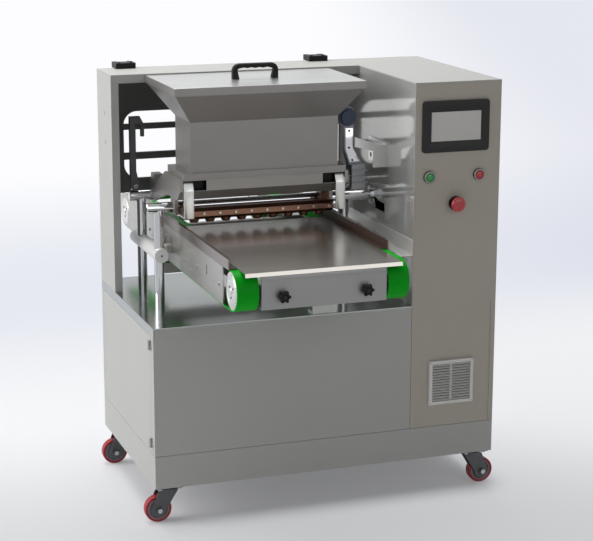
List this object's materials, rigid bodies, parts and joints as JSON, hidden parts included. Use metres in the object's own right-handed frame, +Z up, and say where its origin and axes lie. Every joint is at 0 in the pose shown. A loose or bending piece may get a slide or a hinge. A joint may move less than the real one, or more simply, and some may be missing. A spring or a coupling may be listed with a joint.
{
  "type": "cookie depositor",
  "caption": "Free-standing cookie depositor: hopper, roller feed head and nozzle row above a liftable belt conveyor and tray, on a castored base cabinet with a control panel.",
  "frame": {"origin": "middle of the floor plan, on the floor under the castor wheels", "axes": "+Z up, -Y towards the front with the control panel, +X towards the control cabinet"},
  "size_m": [1.043, 1.2048, 1.22],
  "materials": {
    "grey_sheet": "satin grey paint",
    "light_sheet": "satin light grey paint",
    "polished_sheet": "polished stainless steel",
    "brushed_sheet": "brushed stainless steel",
    "ground_shaft": "ground and chromed",
    "dark_steel": "dark grey coating",
    "black_plastic": "moulded black",
    "screen_glass": "unlit grey panel",
    "red_plastic": "moulded red",
    "green_plastic": "moulded green",
    "red_tread": "red polyurethane",
    "green_belt": "smooth green belting",
    "cast_grey": "cast, grey",
    "motor_paint": "dark blue paint",
    "turned_aluminium": "turned"
  },
  "bodies": {
    "frame": {"base_pan": "grey_sheet", "front_panel": "grey_sheet", "rear_panel": "grey_sheet", "deck_plate": "polished_sheet", "castor_plates": "dark_steel", "cabinet_inner_wall": "polished_sheet", "cabinet_outer_wall": "light_sheet", "cabinet_back": "grey_sheet", "cabinet_top": "light_sheet", "cabinet_front": "grey_sheet", "vent_grille": "light_sheet", "display_bezel": "black_plastic", "display_screen": "screen_glass", "button_collars": "black_plastic", "left_column": "light_sheet", "gantry_beam": "light_sheet", "guard_hinges": "black_plastic", "guide_posts": "ground_shaft", "cross_shafts": "ground_shaft", "head_carriers": "dark_steel", "head_housing": "brushed_sheet", "hopper": "polished_sheet", "nozzle_bar": "brushed_sheet", "gearbox": "cast_grey", "motor": "motor_paint", "motor_bracket": "cast_grey", "lift_actuator": "dark_steel", "side_shelf": "polished_sheet", "stop_bracket": "brushed_sheet"},
    "side_door": {"side_door": "light_sheet"},
    "rear_guard": {"rear_guard": "dark_steel"},
    "lid": {"hopper_lid": "polished_sheet", "lid_handle": "black_plastic"},
    "front_feed": {"front_roller": "brushed_sheet"},
    "rear_feed": {"rear_roller": "brushed_sheet"},
    "carriage": {"side_plates": "brushed_sheet", "front_frame": "brushed_sheet", "belt_bed": "brushed_sheet", "belts": "green_belt", "tray_guides": "brushed_sheet", "lift_bars": "turned_aluminium", "lift_frame": "brushed_sheet", "conveyor_motor": "dark_steel"},
    "front_idler": {"front_pulleys": "turned_aluminium"},
    "rear_drive": {"rear_pulleys": "turned_aluminium"},
    "left_knob": {"left_knob": "black_plastic"},
    "right_knob": {"right_knob": "black_plastic"},
    "tray": {"tray": "brushed_sheet"},
    "hook": {"hook_lever": "dark_steel"},
    "green_button": {"green_button": "green_plastic"},
    "red_button": {"red_button": "red_plastic"},
    "stop_button": {"stop_button": "red_plastic"},
    "front_left_fork": {"front_left_fork": "dark_steel"},
    "front_left_wheel": {"front_left_wheel": "red_tread"},
    "front_right_fork": {"front_right_fork": "dark_steel"},
    "front_right_wheel": {"front_right_wheel": "red_tread"},
    "rear_left_fork": {"rear_left_fork": "dark_steel"},
    "rear_left_wheel": {"rear_left_wheel": "red_tread"},
    "rear_right_fork": {"rear_right_fork": "dark_steel"},
    "rear_right_wheel": {"rear_right_wheel": "red_tread"}
  },
  "joints": [
    {"name": "door_swing", "type": "hinge", "parent": "frame", "child": "side_door", "pos_m": [-0.5045, -0.247, 0.37], "axis": [0, 0, 1], "range_deg": [0, 110]},
    {"name": "guard_swing", "type": "hinge", "parent": "frame", "child": "rear_guard", "pos_m": [-0.128, 0.3245, 1.189], "axis": [1, 0, 0], "range_deg": [0, 90]},
    {"name": "lid_lift", "type": "slide", "parent": "frame", "child": "lid", "axis": [0, 0, 1], "range_m": [0, 0.25]},
    {"name": "front_feed_spin", "type": "hinge", "parent": "frame", "child": "front_feed", "pos_m": [-0.128, -0.051, 0.889], "axis": [1, 0, 0], "continuous": true},
    {"name": "rear_feed_spin", "type": "hinge", "parent": "frame", "child": "rear_feed", "pos_m": [-0.128, -0.003, 0.889], "axis": [1, 0, 0], "continuous": true},
    {"name": "carriage_lift", "type": "slide", "parent": "frame", "child": "carriage", "axis": [0, 0, 1], "range_m": [-0.03, 0.012]},
    {"name": "rear_drive_spin", "type": "hinge", "parent": "carriage", "child": "rear_drive", "pos_m": [-0.128, 0.5485, 0.71], "axis": [1, 0, 0], "continuous": true},
    {"name": "front_idler_spin", "type": "hinge", "parent": "carriage", "child": "front_idler", "pos_m": [-0.128, -0.5275, 0.71], "axis": [1, 0, 0], "continuous": true},
    {"name": "left_knob_turn", "type": "hinge", "parent": "carriage", "child": "left_knob", "pos_m": [-0.2405, -0.5825, 0.701], "axis": [0, 1, 0], "continuous": true},
    {"name": "right_knob_turn", "type": "hinge", "parent": "carriage", "child": "right_knob", "pos_m": [-0.0155, -0.5825, 0.701], "axis": [0, 1, 0], "continuous": true},
    {"name": "tray_slide", "type": "slide", "parent": "carriage", "child": "tray", "axis": [0, -1, 0], "range_m": [0, 0.35]},
    {"name": "hook_swing", "type": "hinge", "parent": "frame", "child": "hook", "pos_m": [-0.421, 0.2025, 0.853], "axis": [0, 1, 0], "range_deg": [-10, 25]},
    {"name": "green_press", "type": "slide", "parent": "frame", "child": "green_button", "axis": [0, 1, 0], "range_m": [0, 0.004], "stiffness_N_per_m": 400},
    {"name": "red_press", "type": "slide", "parent": "frame", "child": "red_button", "axis": [0, 1, 0], "range_m": [0, 0.004], "stiffness_N_per_m": 400},
    {"name": "stop_press", "type": "slide", "parent": "frame", "child": "stop_button", "axis": [0, 1, 0], "range_m": [0, 0.005], "stiffness_N_per_m": 600},
    {"name": "front_left_swivel", "type": "hinge", "parent": "frame", "child": "front_left_fork", "pos_m": [-0.456, -0.2325, 0.092], "axis": [0, 0, 1], "continuous": true},
    {"name": "front_left_roll", "type": "hinge", "parent": "front_left_fork", "child": "front_left_wheel", "pos_m": [-0.484, -0.2325, 0.0375], "axis": [0, 1, 0], "continuous": true},
    {"name": "front_right_swivel", "type": "hinge", "parent": "frame", "child": "front_right_fork", "pos_m": [0.456, -0.2325, 0.092], "axis": [0, 0, 1], "continuous": true},
    {"name": "front_right_roll", "type": "hinge", "parent": "front_right_fork", "child": "front_right_wheel", "pos_m": [0.484, -0.2325, 0.0375], "axis": [0, 1, 0], "continuous": true},
    {"name": "rear_left_swivel", "type": "hinge", "parent": "frame", "child": "rear_left_fork", "pos_m": [-0.456, 0.2675, 0.092], "axis": [0, 0, 1], "continuous": true},
    {"name": "rear_left_roll", "type": "hinge", "parent": "rear_left_fork", "child": "rear_left_wheel", "pos_m": [-0.484, 0.2675, 0.0375], "axis": [0, 1, 0], "continuous": true},
    {"name": "rear_right_swivel", "type": "hinge", "parent": "frame", "child": "rear_right_fork", "pos_m": [0.456, 0.2675, 0.092], "axis": [0, 0, 1], "continuous": true},
    {"name": "rear_right_roll", "type": "hinge", "parent": "rear_right_fork", "child": "rear_right_wheel", "pos_m": [0.484, 0.2675, 0.0375], "axis": [0, 1, 0], "continuous": true}
  ],
  "couplings": [
    {"joint": "rear_feed_spin", "follows": "front_feed_spin", "ratio": -1},
    {"joint": "front_idler_spin", "follows": "rear_drive_spin", "ratio": 1}
  ]
}
